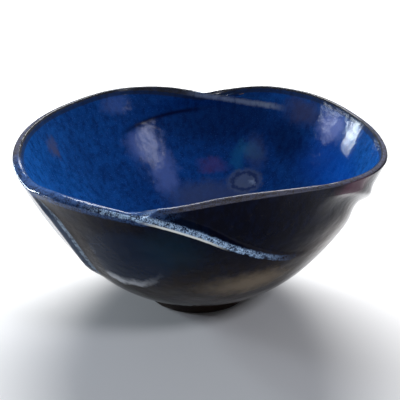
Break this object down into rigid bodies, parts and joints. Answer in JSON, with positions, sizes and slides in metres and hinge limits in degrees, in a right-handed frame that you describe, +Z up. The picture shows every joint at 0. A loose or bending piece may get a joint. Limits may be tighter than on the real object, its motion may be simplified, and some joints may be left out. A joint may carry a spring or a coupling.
{
  "type": "yarn bowl",
  "caption": "Round stoneware yarn bowl on a turned foot, its wall made of overlapping lobes that twist like a pinwheel, blue glaze inside and dark glaze outside.",
  "frame": {"origin": "middle of the foot's underside, where the bowl stands", "axes": "+Z up, out of the bowl's mouth; -Y towards the front, where the left lobe laps over the right one; +X to the right"},
  "size_m": [0.1792, 0.1756, 0.092],
  "materials": {
    "stoneware": "fired clay under the glaze",
    "foot_brown": "thin brown glaze, worn at the foot",
    "dark_glaze": "glossy, blue-black breaking to brown",
    "cobalt_glaze": "glossy, streaked and speckled",
    "lip_glaze": "glossy, thin over the edge"
  },
  "bodies": {
    "root": {"foot_ring": "foot_brown", "lower_bowl": "stoneware", "right_lobe": "stoneware", "left_lobe": "stoneware", "outer_glaze": "dark_glaze", "inner_glaze": "cobalt_glaze", "lip_glaze": "lip_glaze"}
  },
  "joints": []
}
